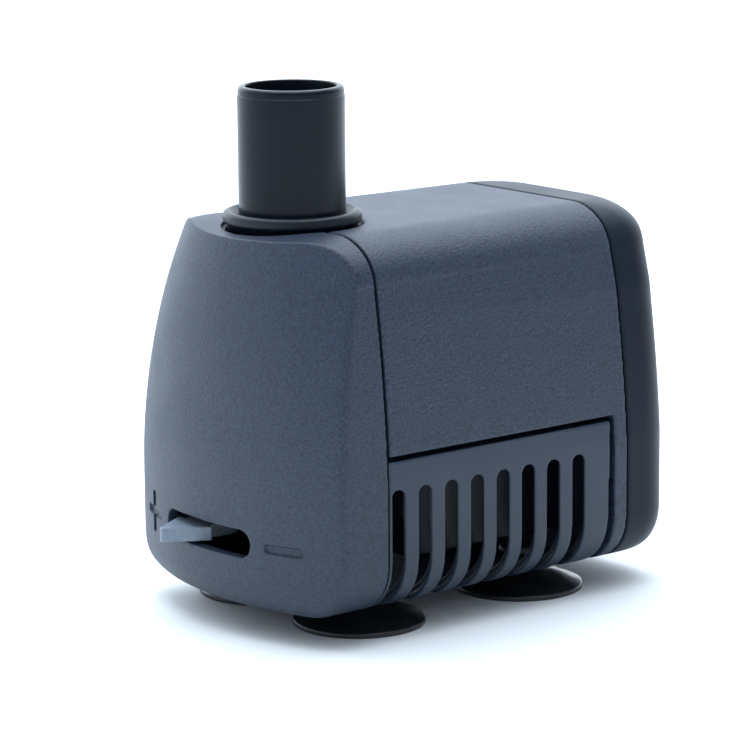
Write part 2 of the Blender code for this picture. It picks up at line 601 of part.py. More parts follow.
def flow_regulator():
    """The gate across the chamber's eye, the arm that reaches the slot, and the pointed tab outside it."""
    window = circle(EYE_RADIUS + 0.2, 0, AXIS_Z)
    gate = plate("flow_regulator", [rounded(-18.5, GATE_LOW, 9.0, GATE_HIGH, 0.8, points=2), window],
                 GATE_BACK - GATE_THICK, GATE_BACK, material="regulator_grey")
    low, high = TAB_Z - TAB_THICK / 2, TAB_Z + TAB_THICK / 2
    leg_x = (-8.2, -4.6)
    block = box("leg_root", (leg_x[0], -27.8, GATE_LOW + 1.2), (leg_x[1], GATE_BACK - 0.4, GATE_LOW + 3.6))
    leg = box("leg", (leg_x[0] + 0.01, -27.79, low + 0.01), (leg_x[1] - 0.01, -26.4, GATE_LOW + 3.5))
    arm = box("arm", (TAB_X - 2.9, TAB_BASE_Y - 0.5, low + 0.02), (TAB_X + 2.9, -26.5, high - 0.02))
    blunt = 0.55
    right = [(TAB_HALF, TAB_BASE_Y), (blunt, TAB_TIP_Y + 0.35), (blunt / 2, TAB_TIP_Y)]
    outline = [(TAB_X - u, y) for u, y in right] + [(TAB_X + u, y) for u, y in reversed(right)]
    tab = plate("tab", [outline], low, high, axis="Z")
    return join(gate, join(block, leg), join(arm, tab))


# ---------------------------------------------------------------- rotor


def impeller():
    """Straight radial vanes, because a synchronous rotor may start either way round."""
    hub = turned("impeller", [(3.6, IMPELLER_BACK), (3.6, -12.6), (3.0, -13.2), (3.0, IMPELLER_FRONT + 0.4),
                              (2.6, IMPELLER_FRONT), (ROTOR_BORE, IMPELLER_FRONT), (ROTOR_BORE, IMPELLER_BACK)],
                 "impeller_white", ring=True, place=(0, 0, AXIS_Z), axis="Y", steps=32)
    for i in range(VANES):
        vane = box(f"vane_{i}", (-0.55, IMPELLER_FRONT + 0.8, 2.2), (0.55, IMPELLER_BACK - 0.2, IMPELLER_RADIUS))
        turn = Matrix.Rotation(2 * math.pi * i / VANES, 4, "Y")
        vane.data.transform(Matrix.Translation((0, 0, AXIS_Z * MM)) @ turn)
        join(hub, vane)
    disc = turned("impeller_disc", [(IMPELLER_RADIUS - 1.2, IMPELLER_BACK - 0.1), (IMPELLER_RADIUS - 1.2, -12.3),
                                    (2.5, -12.3), (2.5, IMPELLER_BACK - 0.1)], ring=True,
                  place=(0, 0, AXIS_Z), axis="Y", steps=40)
    return join(hub, disc)


def ring_on_axis(name, outer, inner, start, end, material, steps=32):
    return turned(name, [(outer, end), (outer, start), (inner, start), (inner, end)], material, ring=True,
                  place=(0, 0, AXIS_Z), axis="Y", steps=steps)


def rotor_parts():
    magnet = ring_on_axis("rotor_magnet", MAGNET_RADIUS, MAGNET_BORE, MAGNET_START, MAGNET_END, "ferrite", 40)
    core = turned("rotor_core", [(3.0, 16.3), (3.0, -0.4), (4.6, -0.4), (4.6, -2.2), (3.0, -3.0), (3.0, -10.8),
                                 (ROTOR_BORE, -10.8), (ROTOR_BORE, 16.3)],
                  "impeller_white", ring=True, place=(0, 0, AXIS_Z), axis="Y", steps=32)
    return [impeller(), magnet, core]


def shaft_parts():
    rod("rotor_shaft", SHAFT_RADIUS, -22.4, 19.2, "ceramic_white", segments=24)
    ring_on_axis("front_thrust_washer", 2.3, 1.4, -20.2 + 0.05, -19.7, "ceramic_white", 24)
    ring_on_axis("front_bush", 2.25, 1.4, -22.4, -20.5, "seal_rubber", 24)
    ring_on_axis("rear_bush", 2.25, 1.4, 17.2, 19.3, "seal_rubber", 24)
    ring_on_axis("rear_thrust_washer", 2.3, 1.4, 16.55, 16.95, "ceramic_white", 24)


# ---------------------------------------------------------------- stator


def stator_core():
    """An upturned U of laminations: two legs down past the coils to concave poles beside the rotor well."""
    reach = math.asin(LEG_INNER / POLE_RADIUS)
    arc = [math.pi - reach - (math.pi - 2 * reach) * i / 12 for i in range(13)]
    right = [(POLE_RADIUS * math.sin(t), AXIS_Z + POLE_RADIUS * -math.cos(t)) for t in reversed(arc)]
    leg_low = right[0][1]
    loop = [(LEG_OUTER, leg_low), (LEG_OUTER, YOKE_HIGH), (-LEG_OUTER, YOKE_HIGH), (-LEG_OUTER, leg_low)]
    loop += [(-x, z) for x, z in right]
    loop += [(-LEG_INNER, YOKE_LOW), (LEG_INNER, YOKE_LOW), *reversed(right)]
    return plate("stator_core", [loop], STACK_START, STACK_END, material="core_steel")


def coil(side, name):
    """A bobbin on one leg of the core, and the winding on it."""
    inner_x, outer_x = sorted((side * LEG_INNER, side * LEG_OUTER))
    hole = (inner_x - GAP, STACK_START - GAP, outer_x + GAP, STACK_END + GAP)
    tube = (hole[0] - BOBBIN_WALL, hole[1] - BOBBIN_WALL, hole[2] + BOBBIN_WALL, hole[3] + BOBBIN_WALL)
    reach = WINDING + 0.3
    flange = (tube[0] - reach, tube[1] - reach, tube[2] + reach, tube[3] + reach)
    bobbin = plate(f"coil_bobbin_{name}", [rounded(*flange, 2.0, 3)], COIL_LOW, COIL_HIGH, axis="Z",
                   material="bobbin_white")
    outside = [value + grow for value, grow in zip(flange, (-2, -2, 2, 2))]
    spool = plate(f"spool_{name}", [rounded(*outside, 2.0, 3), rounded(*tube, 0.6, 1)],
                  COIL_LOW + 0.9, COIL_HIGH - 0.9, axis="Z")
    leg_hole = box(f"leg_hole_{name}", (hole[0], hole[1], COIL_LOW - 5), (hole[2], hole[3], COIL_HIGH + 5))
    cut(bobbin, spool, leg_hole)
    inside = [value + grow for value, grow in zip(tube, (-0.2, -0.2, 0.2, 0.2))]
    outside = [value + grow for value, grow in zip(tube, (-WINDING, -WINDING, WINDING, WINDING))]
    plate(f"coil_winding_{name}", [rounded(*outside, 2.6, 4), rounded(*inside, 0.6, 1)],
          COIL_LOW + 1.2, COIL_HIGH - 1.2, axis="Z", material="copper_wire")


def coil_link_wire():
    """The wire that joins the two coils in series, across the gap behind the yoke."""
    curve = bpy.data.curves.new("coil_link_wire", "CURVE")
    curve.dimensions, curve.bevel_depth, curve.bevel_resolution, curve.use_fill_caps = "3D", 0.4 * MM, 2, True
    spline = curve.splines.new("POLY")
    y, z, reach, rise = STACK_END + 6.6, 44.8, 9.0, 3.4
    turns = [math.pi * i / 12 for i in range(13)]
    spline.points.add(len(turns) - 1)
    for point, turn in zip(spline.points, turns):
        point.co = (-reach * math.cos(turn) * MM, y * MM, (z + rise * math.sin(turn)) * MM, 1)
    return keep_curve(curve)


def keep_curve(curve):
    obj = bpy.data.objects.new(curve.name, curve)
    curve.materials.append(MATERIALS["copper_wire"])
    PARTS.objects.link(obj)
    return obj


def potting_resin():
    """The poured layer that closes the motor bay behind the coils."""
    resin = keep_only(body_form("potting_resin", inset=2.35, material="resin_black"),
                      slab("resin_span", 23.9, 25.9, HOUSING_LOW + 2.4, 70))
    low = box("resin_keel", (-KEEL_HALF + 2.15, 23.91, KEEL_LOW + 2.15),
              (KEEL_HALF - 2.15, 25.89, HOUSING_LOW + 3.4))
    return join(resin, low)


# ---------------------------------------------------------------- feet and gland


def suction_cup(name, x, y):
    top = [(0, 7.2), (2.2, 7.0), (3.1, 6.4), (3.1, 5.65), (2.25, 5.65), (2.25, 3.7), (3.4, 3.6), (3.5, 3.2)]
    skirt = [(6.0, 2.3), (CUP_RADIUS - 0.5, 0.85), (CUP_RADIUS, 0.45), (CUP_RADIUS, 0), (8.9, 0)]
    hollow = [(7.0, 0.9), (4.0, 1.7), (0, 2.1)]
    return turned(name, top + skirt + hollow, "cup_rubber", place=(x, y, 0), steps=24)


def cable_gland():
    """The lead's rubber gland, in a recess in the rear cap."""
    face = REAR_Y - 0.2
    head = [(2.9, face), (GLAND_RADIUS - 0.4, face - 0.2), (GLAND_RADIUS, face - 0.6), (GLAND_RADIUS, face - 1.0)]
    stem = [(3.2, face - 1.0), (3.2, REAR_Y - 5.4), (4.0, REAR_Y - 5.4), (4.0, REAR_Y - 6.4), (2.6, REAR_Y - 6.8)]
    return turned("cable_gland", head + stem, "seal_rubber", ring=True, place=(0, 0, GLAND_Z), axis="Y", steps=24)


def main():
    motor_housing()
    rear_cap()
    intake_grille()
    pump_chamber()
    chamber_seal()
    outlet_nozzle()
    nozzle_o_ring()
    shaft_parts()
    stator_core()
    coil(-1, "left")
    coil(1, "right")
    coil_link_wire()
    potting_resin()
    cable_gland()
    for end, y in (("front", CUP_FRONT_Y), ("rear", CUP_REAR_Y)):
        suction_cup(f"suction_cup_{end}_left", -CUP_X, y)
        suction_cup(f"suction_cup_{end}_right", CUP_X, y)
    pivot("front_cover_pull", (0, FRONT_SEAM_Y, AXIS_Z), front_cover())
    pivot("regulator_slide", (TAB_X, TAB_BASE_Y, SLOT_Z), flow_regulator())
    pivot("rotor_axis", (0, 0, AXIS_Z), *rotor_parts())


main()
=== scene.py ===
"""Small submersible pump on suction cups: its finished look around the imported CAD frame.

Sizes are in millimetres until a mesh is made, and metres after that. The big mouldings are rebuilt here from
the same form as the CAD, finer and with every edge rounded.
"""

import json
import math

import bmesh
import bpy
from mathutils import Matrix, Vector

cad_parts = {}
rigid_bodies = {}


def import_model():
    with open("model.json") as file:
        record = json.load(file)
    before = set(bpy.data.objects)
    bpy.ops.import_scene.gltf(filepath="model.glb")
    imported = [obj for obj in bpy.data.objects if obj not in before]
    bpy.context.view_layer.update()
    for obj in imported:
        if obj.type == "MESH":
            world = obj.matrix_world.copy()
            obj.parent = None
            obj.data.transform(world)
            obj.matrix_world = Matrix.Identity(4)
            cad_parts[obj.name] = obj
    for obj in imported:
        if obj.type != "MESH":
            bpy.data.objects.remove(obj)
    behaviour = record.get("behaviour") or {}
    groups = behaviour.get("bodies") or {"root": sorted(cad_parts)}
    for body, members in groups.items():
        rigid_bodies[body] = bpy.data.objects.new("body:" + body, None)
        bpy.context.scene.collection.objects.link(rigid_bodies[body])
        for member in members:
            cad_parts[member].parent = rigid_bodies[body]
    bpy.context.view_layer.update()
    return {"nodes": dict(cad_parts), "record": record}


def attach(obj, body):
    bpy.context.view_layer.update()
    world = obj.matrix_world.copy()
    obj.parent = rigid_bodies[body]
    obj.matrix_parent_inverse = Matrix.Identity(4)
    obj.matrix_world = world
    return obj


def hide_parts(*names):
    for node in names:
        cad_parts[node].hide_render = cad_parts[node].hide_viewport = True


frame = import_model()
MM = 0.001

# The body
BODY_BOTTOM, BODY_TOP = 4.0, 59.5
BODY_HALF_WIDTH = 25.0
SIDE_LEAN_FROM = 24.0  # above this the side walls lean in
SIDE_LEAN, SIDE_BOW = 0.036, 0.0022
SHOULDER_Z, FLAT_TOP_HALF = 52.5, 13.5  # the rounded shoulder, and where the flat top starts
SIDE_FOOT_RADIUS, FRONT_FOOT_RADIUS, REAR_FOOT_RADIUS = 8.0, 4.5, 1.8
REAR_TOP_RADIUS = 5.0
FRONT_Y, REAR_Y = -34.75, 38.6
FRONT_CORNER_RADIUS, SHOULDER_CORNER_RADIUS, REAR_CORNER_RADIUS = 2.0, 0.9, 6.8
FRONT_LEAN_FROM, FRONT_LEAN, FRONT_LEAN_POWER = 18.0, 5.0, 2.2
FRONT_RADIUS, FRONT_TOP_RADIUS, FRONT_TURN_FROM, FRONT_TURN_POWER = 48.0, 28.0, 22.0, 1.6
CRISP_FROM, CRISP_AT = 43.0, 53.0  # between these the front corner turns from round to crisp
FRONT_DROP, DROP_START_Y, DROP_START_Z = 0.9, -21.0, 46.0  # the top slopes down to the front edge
FRONT_SEAM_Y, REAR_SEAM_Y = -19.35, 28.0
REAR_TAPER, SHOULDER_TAPER = 0.6, 0.9  # how much narrower the body is at the rear, and its shoulders
TAPER_SPAN, SHOULDER_TAPER_SPAN = (24.0, 44.0), (47.0, 55.0)  # the heights over which it does so
WALL, STRAINER_WALL = 1.8, 1.3
GAP, SEAM_GAP = 0.3, 0.6  # between neighbouring mouldings, and the wider one behind the front cover

# The outlet
OUTLET_Y = -17.15
TUBE_RADIUS, TUBE_BORE, TUBE_THROAT = 8.0, 6.8, 6.1
TUBE_TOP, TUBE_FOOT, THROAT_Z = 79.95, 55.6, 75.0
NECK_RADIUS, NECK_BORE = 9.7, 8.35
COLLAR_RADIUS, COLLAR_LOW, COLLAR_HIGH = 10.4, 59.65, 61.45
RECESS_RADIUS, RECESS_DEPTH = 10.6, 0.9

# The wet end, all about the rotor's axis
AXIS_Z = 30.0
CHAMBER_RADIUS, CHAMBER_BORE = 13.3, 11.8
CHAMBER_FRONT, CHAMBER_BACK = -23.4, -7.4
EYE_RADIUS, BUSH_HOLDER_RADIUS, BUSH_BORE = 6.2, 3.2, 2.5
BULKHEAD_Y, BULKHEAD_THICK = -7.1, 2.0
SPIGOT_Y, SPIGOT_RADIUS = -10.6, 11.0
WELL_RADIUS, WELL_BORE, WELL_END = 8.5, 7.3, 21.0

# The regulator
SLOT_Z, SLOT_HEIGHT, SLOT_HALF = 14.45, 4.25, 10.3
TAB_X, TAB_TIP_Y, TAB_BASE_Y, TAB_HALF = -5.2, -38.6, -32.2, 4.3
TAB_Z, TAB_THICK = 13.9, 2.2
GATE_LOW, GATE_HIGH, GATE_BACK, GATE_THICK = 22.2, 37.8, -23.7, 1.3
MARK_X, MARK_LENGTH, MARK_WIDTH, MARK_DEPTH = 16.1, 6.4, 1.35, 0.5

# The strainer and the motor's keel above it
STRAINER_TOP, HOUSING_LOW = 27.2, 28.0
STRAINER_REAR, STRAINER_REAR_LOW, FRAME_Y = 24.45, 23.8, 25.35
SLOTS, SLOT_PITCH, FIRST_SLOT_Y, SLOT_WIDTH, SLOT_TOP = 8, 5.03, -17.35, 2.5, 23.0
SLOT_INNER_X = 15.5
SLOT_LIP, SLOT_RELIEF = 0.5, 0.6  # each slot is wider behind its outer lip
KEEL_HALF, KEEL_LOW = 15.0, 8.9
RAIL_INNER, RAIL_OUTER, RAIL_LOW, RAIL_START, RAIL_END = 18.6, 20.6, 22.7, -16.0, 21.0

# Feet and gland
CUP_X, CUP_FRONT_Y, CUP_REAR_Y, CUP_RADIUS = 11.9, -14.55, 17.1, 10.0
GLAND_Z, GLAND_RADIUS = 44.0, 4.6

# ---------------------------------------------------------------- materials


class Shader:
    """A Principled material built from nodes, with colour variation, roughness variation and bump."""

    def __init__(self, name, roughness, specular=0.5, **sockets):
        self.material = bpy.data.materials.new(name)
        self.material.use_nodes = True
        self.nodes = self.material.node_tree.nodes
        self.links = self.material.node_tree.links
        self.shader = self.nodes["Principled BSDF"]
        self.shader.inputs["Roughness"].default_value = roughness
        self.shader.inputs["Specular IOR Level"].default_value = specular
        for socket, value in sockets.items():
            self.shader.inputs[socket.replace("_", " ")].default_value = value
        self.place = self.nodes.new("ShaderNodeTexCoord").outputs["Object"]

    def link(self, output, socket):
        self.links.new(output, socket)

    def stretched(self, scale):
        mapping = self.nodes.new("ShaderNodeMapping")
        mapping.inputs["Scale"].default_value = scale
        self.link(self.place, mapping.inputs["Vector"])
        return mapping.outputs["Vector"]

    def noise(self, size_mm, detail=2.0, roughness=0.5, vector=None):
        node = self.nodes.new("ShaderNodeTexNoise")
        node.inputs["Scale"].default_value = 1000.0 / size_mm
        node.inputs["Detail"].default_value = detail
        node.inputs["Roughness"].default_value = roughness
        self.link(vector or self.place, node.inputs["Vector"])
        return node.outputs["Fac"]

    def ramp(self, factor, *stops):
        node = self.nodes.new("ShaderNodeValToRGB")
        elements = node.color_ramp.elements
        while len(elements) < len(stops):
            elements.new(0.5)
        for element, (position, value) in zip(elements, stops):
            element.position = position
            element.color = (*value, 1) if isinstance(value, tuple) else (value, value, value, 1)
        self.link(factor, node.inputs["Fac"])
        return node.outputs["Color"]

    def colour(self, factor, *stops):
        self.link(self.ramp(factor, *stops), self.shader.inputs["Base Color"])
        return self

    def rough(self, factor, low, high):
        self.link(self.ramp(factor, (0.3, low), (0.7, high)), self.shader.inputs["Roughness"])
        return self

    def bump(self, height, depth_mm):
        node = self.nodes.new("ShaderNodeBump")
        node.inputs["Strength"].default_value = 1.0
        node.inputs["Distance"].default_value = depth_mm * MM
        self.link(height, node.inputs["Height"])
        self.link(node.outputs["Normal"], self.shader.inputs["Normal"])
        return self


def tinted(colour, share):
    return tuple(value * share for value in colour)


def grained_plastic(name, colour, grain_mm, depth_mm, roughness, specular=0.5, speckle_and_glint=0.08):
    """Moulded plastic: a grain in the surface, its colour lighter on the raised points and darker in the
    pits, partly the grain's own tone and partly painted glints and painted shade, and gloss that drifts a
    little.
    """
    look = Shader(name, roughness, specular)
    grain = look.noise(grain_mm, 2.0, 0.55)
    # the colour follows the grain's height: painted glints on its raised points and painted shade in its
    # pits
    look.colour(grain, (0.35, tinted(colour, 1 - speckle_and_glint)), (0.65, tinted(colour, 1 + speckle_and_glint)))
    look.rough(look.noise(9.0, 2.0), roughness - 0.03, roughness + 0.03)
    return look.bump(grain, depth_mm).material


def rubber(name, colour, roughness, coat=0.0):
    look = Shader(name, roughness, 0.5, Coat_Weight=coat, Coat_Roughness=0.16)
    look.colour(look.noise(3.0, 4.0), (0.3, tinted(colour, 0.8)), (0.75, tinted(colour, 1.35)))
    look.rough(look.noise(2.2, 3.0), roughness - 0.07, roughness + 0.1)
    return look.bump(look.noise(1.1, 3.0), 0.012).material


def metal(name, colour, roughness, along=(1, 1, 1), size_mm=0.5):
    look = Shader(name, roughness, 0.5, Metallic=1.0)
    streaks = look.noise(size_mm, 3.0, 0.6, look.stretched(along))
    look.colour(streaks, (0.3, tinted(colour, 0.8)), (0.7, tinted(colour, 1.15)))
    look.rough(streaks, roughness - 0.1, roughness + 0.1)
    return look.bump(streaks, 0.02).material


SHELL = (0.016, 0.028, 0.050)
MATERIALS = {
    # the shell's grain is painted up to 42 % lighter on its raised points and darker in its pits: painted
    # glints and painted shade
    "shell_grain": grained_plastic("shell_grain", SHELL, 0.36, 0.12, 0.48, speckle_and_glint=0.42),
    "shell_smooth": grained_plastic("shell_smooth", SHELL, 0.5, 0.02, 0.45, speckle_and_glint=0.12),
    # The rear cap is the shell's own plastic, with its colour darkened to 45 %: painted shade.
    "cap_smooth": grained_plastic("cap_smooth", tinted(SHELL, 0.45), 0.6, 0.006, 0.42, 0.17),
    "outlet_black": grained_plastic("outlet_black", (0.003, 0.006, 0.011), 0.8, 0.004, 0.28, 0.2),
    "regulator_grey": grained_plastic("regulator_grey", (0.20, 0.245, 0.30), 0.7, 0.01, 0.4),
    "inner_black": grained_plastic("inner_black", (0.007, 0.011, 0.018), 0.6, 0.008, 0.38, 0.32),
    "cup_rubber": rubber("cup_rubber", (0.007, 0.008, 0.010), 0.34, coat=0.35),
    "seal_rubber": rubber("seal_rubber", (0.013, 0.013, 0.014), 0.55),
    "impeller_white": grained_plastic("impeller_white", (0.74, 0.75, 0.72), 0.7, 0.008, 0.4),
    "ferrite": rubber("ferrite", (0.05, 0.05, 0.055), 0.5),
    "ceramic_white": grained_plastic("ceramic_white", (0.82, 0.81, 0.77), 0.4, 0.003, 0.2),
    "core_steel": metal("core_steel", (0.4, 0.41, 0.43), 0.45, along=(0.15, 4, 0.15), size_mm=1.0),
    "bobbin_white": grained_plastic("bobbin_white", (0.76, 0.74, 0.68), 0.6, 0.01, 0.45),
    "copper_wire": metal("copper_wire", (0.62, 0.24, 0.09), 0.35, along=(0.3, 0.3, 5), size_mm=1.2),
    "resin_black": grained_plastic("resin_black", (0.012, 0.011, 0.010), 3.0, 0.05, 0.22),
}


# ---------------------------------------------------------------- mesh helpers

HELPERS = bpy.data.collections.new("helpers")


def keep(name, bm):
    """An object from a mesh drawn in millimetres."""
    bmesh.ops.recalc_face_normals(bm, faces=bm.faces)
    bm.transform(Matrix.Scale(MM, 4))
    mesh = bpy.data.meshes.new(name)
    bm.to_mesh(mesh)
    bm.free()
    obj = bpy.data.objects.new(name, mesh)
    HELPERS.objects.link(obj)
    return obj


def box(name, low, high):
    bm = bmesh.new()
    size = [h - l for l, h in zip(low, high)]
    middle = [(h + l) / 2 for l, h in zip(low, high)]
    bmesh.ops.create_cube(bm, size=1, matrix=Matrix.Translation(middle) @ Matrix.Diagonal((*size, 1)))
    return keep(name, bm)


def slab(name, y_low, y_high, z_low=0.0, z_high=70.0, half=40.0):
    return box(name, (-half, y_low, z_low), (half, y_high, z_high))


def rod(name, radius, start, end, z=AXIS_Z, segments=96):
    """A cylinder along Y."""
    bm = bmesh.new()
    place = Matrix.Translation((0, (start + end) / 2, z)) @ Matrix.Rotation(-math.pi / 2, 4, "X")
    bmesh.ops.create_cone(bm, cap_ends=True, segments=segments, radius1=radius, radius2=radius,
                          depth=end - start, matrix=place)
    return keep(name, bm)


def post(name, radius, low, high, x=0.0, y=OUTLET_Y, segments=96):
    """A cylinder along Z."""
    bm = bmesh.new()
    bmesh.ops.create_cone(bm, cap_ends=True, segments=segments, radius1=radius, radius2=radius,
                          depth=high - low, matrix=Matrix.Translation((x, y, (low + high) / 2)))
    return keep(name, bm)


def arc(middle, radius, start, end, points=6):
    """Points (radius, height) round a corner of a profile, by angle in degrees from straight out."""
    turns = [math.radians(start + (end - start) * i / points) for i in range(points + 1)]
    return [(middle[0] + radius * math.cos(t), middle[1] + radius * math.sin(t)) for t in turns]


def turned(name, profile, place=(0, OUTLET_Y, 0), axis="Z", ring=False, steps=128):
    """A profile of (radius, height) pairs turned about an axis, closed in a point where it meets it."""
    bm = bmesh.new()
    columns = []
    for radius, height in profile:
        if radius < 1e-6:
            columns.append([bm.verts.new((0, 0, height))] * steps)
            continue
        turns = [2 * math.pi * i / steps for i in range(steps)]
        columns.append([bm.verts.new((radius * math.cos(t), radius * math.sin(t), height)) for t in turns])
    pairs = list(zip(columns, columns[1:]))
    if ring:
        pairs.append((columns[-1], columns[0]))
    for upper, lower in pairs:
        for i in range(steps):
            j = (i + 1) % steps
            corners = list(dict.fromkeys((upper[i], upper[j], lower[j], lower[i])))
            if len(corners) > 2:
                bm.faces.new(corners)
    turn = Matrix.Rotation(-math.pi / 2, 4, "X") if axis == "Y" else Matrix.Identity(4)
    bm.transform(Matrix.Translation(place) @ turn)
    return keep(name, bm)


def prism(name, loop, low, high, axis="Y"):
    """A flat outline pushed out along an axis."""
    bm = bmesh.new()
    rings = []
    for level in (low, high):
        rings.append([bm.verts.new((u, level, v) if axis == "Y" else (u, v, level)) for u, v in loop])
    for i in range(len(loop)):
        j = (i + 1) % len(loop)
        bm.faces.new((rings[0][i], rings[0][j], rings[1][j], rings[1][i]))
    bm.faces.new(rings[0])
    bm.faces.new(rings[1])
    return keep(name, bm)


def rounded(u_low, v_low, u_high, v_high, radius, points=10):
    loop = []
    for quarter, (u, v) in enumerate(((u_high, v_low), (u_high, v_high), (u_low, v_high), (u_low, v_low))):
        middle = (u - radius if u == u_high else u + radius, v - radius if v == v_high else v + radius)
        loop += arc(middle, radius, 90 * (quarter - 1), 90 * quarter, points)
    return loop


def boolean(obj, other, operation):
    modifier = obj.modifiers.new(f"{operation.lower()} {other.name}", "BOOLEAN")
    modifier.operation, modifier.object, modifier.solver = operation, other, "EXACT"
    return obj


def cut(obj, *others):
    for other in others:
        boolean(obj, other, "DIFFERENCE")
    return obj


def join(obj, *others):
    for other in others:
        boolean(obj, other, "UNION")
    return obj


def keep_only(obj, region):
    return boolean(obj, region, "INTERSECT")


def settle(obj):
    """Gives the object its modified mesh, and takes the modifiers off."""
    bpy.context.view_layer.update()
    mesh = bpy.data.meshes.new_from_object(obj.evaluated_get(bpy.context.evaluated_depsgraph_get()))
    obj.modifiers.clear()
    obj.data = mesh
    return obj


def soften(obj, voxel_mm, passes=4):
    """Rounds every edge as a mould does, by remeshing finely and smoothing."""
    settle(obj)
    remesh = obj.modifiers.new("remesh", "REMESH")
    remesh.mode, remesh.voxel_size = "VOXEL", voxel_mm * MM
    smooth = obj.modifiers.new("smooth", "SMOOTH")
    smooth.factor, smooth.iterations = 0.5, passes
    settle(obj)
    return obj


def lighten(obj, share):
    """Takes out the triangles that a flat stretch doesn't need."""
    obj.modifiers.new("lighten", "DECIMATE").ratio = share
    settle(obj)
    return obj


def show(obj, slot, body, *nodes):
    """Adds a finished piece to the scene, on its body, for the CAD nodes that it stands for."""
    bpy.context.scene.collection.objects.link(obj)
    obj.data.materials.clear()
    obj.data.materials.append(MATERIALS[slot])
    for polygon in obj.data.polygons:
        polygon.material_index = 0
        polygon.use_smooth = True
    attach(obj, body)
    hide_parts(*nodes)


def crisp(obj, degrees=32):
    """Keeps the edges sharp that turn by more than this."""
    for polygon in obj.data.polygons:
        polygon.use_smooth = True
    obj.data.set_sharp_from_angle(angle=math.radians(degrees))
    return obj


# ---------------------------------------------------------------- the body's form


def rounding(distance, radius):
    """How far an edge of this radius has drawn in, at a distance from where it ends."""
    inside = max(0.0, radius - distance)
    return radius - math.sqrt(max(0.0, radius * radius - inside * inside))


def ramp(value, start, end):
    """Nought up to the start, one from the end, and even between them."""
    return max(0.0, min(1.0, (value - start) / (end - start)))


def half_width(z):
    if z > SHOULDER_Z:
        up = (z - SHOULDER_Z) / (BODY_TOP - SHOULDER_Z)
        return FLAT_TOP_HALF + (half_width(SHOULDER_Z) - FLAT_TOP_HALF) * math.sqrt(max(0.0, 1 - up * up))
    lean = max(0.0, z - SIDE_LEAN_FROM)
    drawn_in = rounding(z - BODY_BOTTOM, SIDE_FOOT_RADIUS)
    return BODY_HALF_WIDTH - drawn_in - SIDE_LEAN * lean - SIDE_BOW * lean * lean


def front_apex(z):
    """The middle of the front face, which leans back towards the top."""
    up = ramp(z, FRONT_LEAN_FROM, BODY_TOP)
    return FRONT_Y + rounding(z - BODY_BOTTOM, FRONT_FOOT_RADIUS) + FRONT_LEAN * up**FRONT_LEAN_POWER


def front_radius(z):
    """The front face is an arc in plan, tighter towards the top."""
    up = ramp(z, FRONT_TURN_FROM, BODY_TOP)
    return FRONT_RADIUS - (FRONT_RADIUS - FRONT_TOP_RADIUS) * up**FRONT_TURN_POWER


def rear_end(z):
    return REAR_Y - rounding(z - BODY_BOTTOM, REAR_FOOT_RADIUS) - rounding(BODY_TOP - z, REAR_TOP_RADIUS)


def front_corner(z):
    """The edge between front and side is round low down and crisp over the shoulder."""
    tighter = SHOULDER_CORNER_RADIUS - FRONT_CORNER_RADIUS
    return FRONT_CORNER_RADIUS + tighter * ramp(z, CRISP_FROM, CRISP_AT)


def top_drop(y, z):
    """How far the top has sloped down at a place in front of the outlet."""
    forward = max(0.0, (DROP_START_Y - y) / (DROP_START_Y - FRONT_Y - FRONT_LEAN))
    return FRONT_DROP * forward**1.5 * ramp(z, DROP_START_Z, BODY_TOP) ** 2


def plan_outline(z, inset, front_steps=48, corner_steps=8, side_steps=8, rear_steps=12):
    """The body's outline in plan at a height, drawn in by the inset all round."""
    share = (z - BODY_BOTTOM - inset) / (BODY_TOP - BODY_BOTTOM - 2 * inset)
    height = BODY_BOTTOM + share * (BODY_TOP - BODY_BOTTOM)
    side = half_width(height) - inset
    taper = REAR_TAPER * ramp(height, *TAPER_SPAN) + SHOULDER_TAPER * ramp(height, *SHOULDER_TAPER_SPAN)
    rear_side = side - taper
    reach = front_radius(height) - inset
    middle = front_apex(height) + inset + reach
    corner = max(0.4, front_corner(height) - inset)
    corner_y = middle - math.sqrt((reach - corner) ** 2 - (side - corner) ** 2)
    sweep = math.atan2(side - corner, middle - corner_y)
    back = REAR_CORNER_RADIUS - inset
    rear_start = rear_end(height) - inset - back
    right = []
    for i in range(1, front_steps + 1):
        turn = sweep * i / front_steps
        right.append((reach * math.sin(turn), middle - reach * math.cos(turn)))
    for i in range(1, corner_steps + 1):
        turn = sweep + (math.pi / 2 - sweep) * i / corner_steps
        right.append((side - corner + corner * math.sin(turn), corner_y - corner * math.cos(turn)))
    for i in range(1, side_steps + 1):
        y = corner_y + (DROP_START_Y + 0.1 - corner_y) * i / side_steps
        right.append((side - taper * ramp(y, corner_y, rear_start), y))
    for i in range(rear_steps + 1):
        turn = math.pi / 2 * (1 + i / rear_steps)
        right.append((rear_side - back + back * math.sin(turn), rear_start - back * math.cos(turn)))
    left = [(-x, y) for x, y in reversed(right)]
    return [(0.0, middle - reach), *right, *left]


